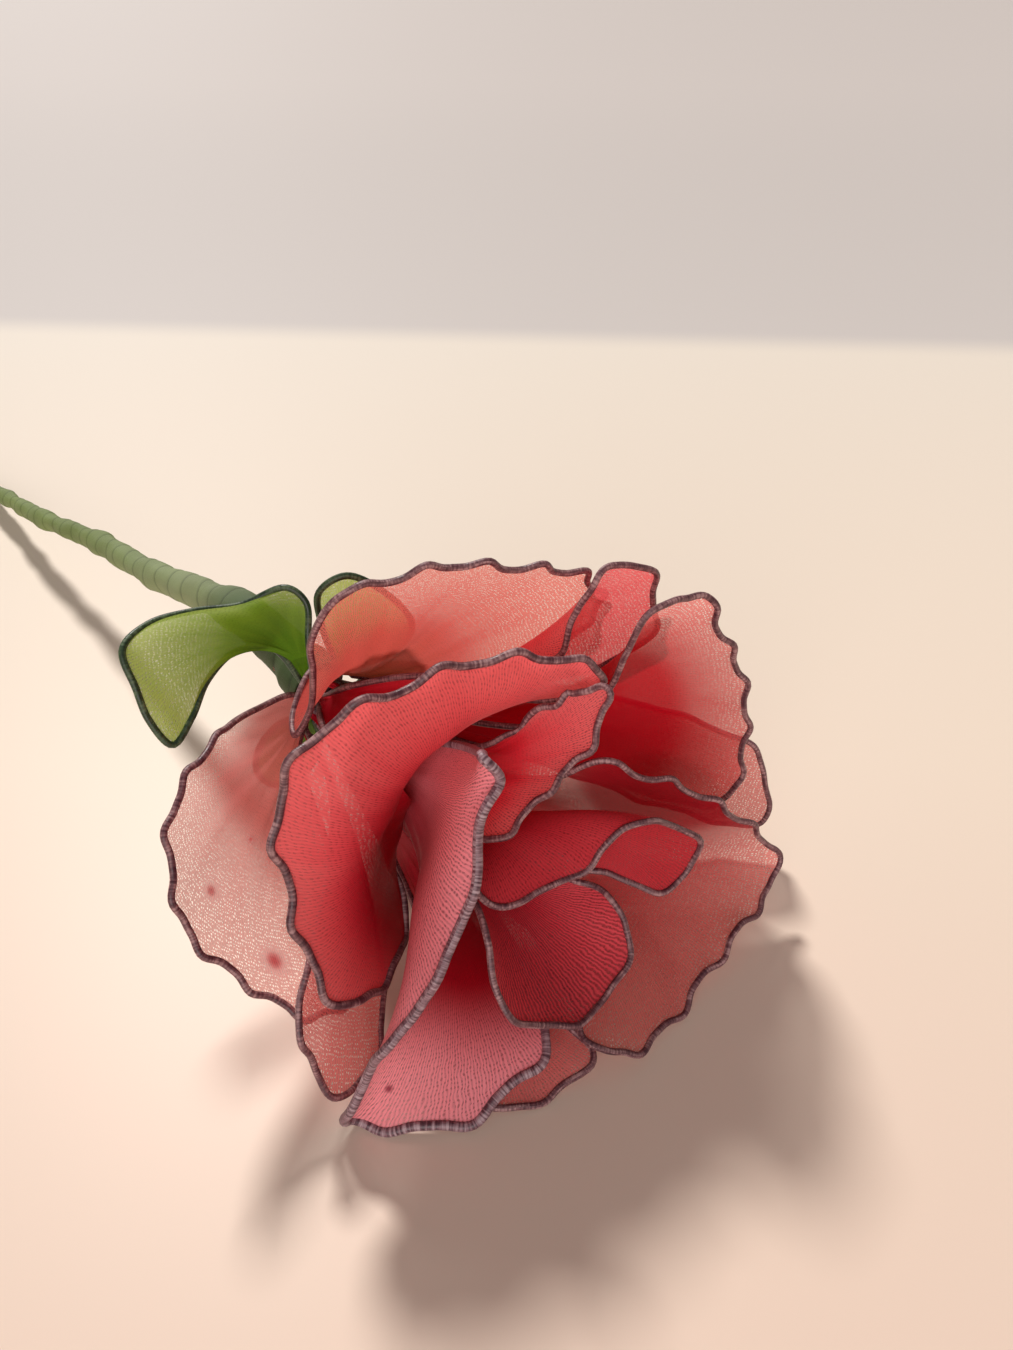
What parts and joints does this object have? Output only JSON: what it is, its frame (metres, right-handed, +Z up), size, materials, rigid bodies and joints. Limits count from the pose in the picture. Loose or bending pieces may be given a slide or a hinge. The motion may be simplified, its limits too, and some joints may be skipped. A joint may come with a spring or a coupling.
{
  "type": "nylon rose on a stem",
  "caption": "Rose of red sheer nylon stretched over wavy loops of wire, with green sepals and a taped stem, lying on its side.",
  "frame": {"origin": "centre of the bottom of the rose's box, on the surface that it lies on", "axes": "+Z up from that surface, +Y along the stem from the flower to its cut end, +X to the right of one who faces the flower"},
  "size_m": [0.0818, 0.3398, 0.0579],
  "materials": {
    "petal_nylon": "sheer knit",
    "petal_wire": "satin",
    "sepal_nylon": "sheer knit",
    "sepal_wire": "satin",
    "stem_tape": "waxed crepe tape",
    "core_wire": "bare",
    "thread": "twisted cotton"
  },
  "bodies": {
    "root": {"binding_thread": "thread", "petal_01_nylon": "petal_nylon", "petal_01_wire": "petal_wire", "petal_02_nylon": "petal_nylon", "petal_02_wire": "petal_wire", "petal_03_nylon": "petal_nylon", "petal_03_wire": "petal_wire", "petal_04_nylon": "petal_nylon", "petal_04_wire": "petal_wire", "petal_05_nylon": "petal_nylon", "petal_05_wire": "petal_wire", "petal_06_nylon": "petal_nylon", "petal_06_wire": "petal_wire", "petal_07_nylon": "petal_nylon", "petal_07_wire": "petal_wire", "petal_08_nylon": "petal_nylon", "petal_08_wire": "petal_wire", "petal_09_nylon": "petal_nylon", "petal_09_wire": "petal_wire", "petal_10_nylon": "petal_nylon", "petal_10_wire": "petal_wire", "petal_11_nylon": "petal_nylon", "petal_11_wire": "petal_wire", "petal_12_nylon": "petal_nylon", "petal_12_wire": "petal_wire", "petal_13_nylon": "petal_nylon", "petal_13_wire": "petal_wire", "sepal_1_nylon": "sepal_nylon", "sepal_1_wire": "sepal_wire", "sepal_2_nylon": "sepal_nylon", "sepal_2_wire": "sepal_wire", "sepal_3_nylon": "sepal_nylon", "sepal_3_wire": "sepal_wire", "sepal_4_nylon": "sepal_nylon", "sepal_4_wire": "sepal_wire", "stem_core": "core_wire", "stem_tape": "stem_tape"}
  },
  "joints": []
}
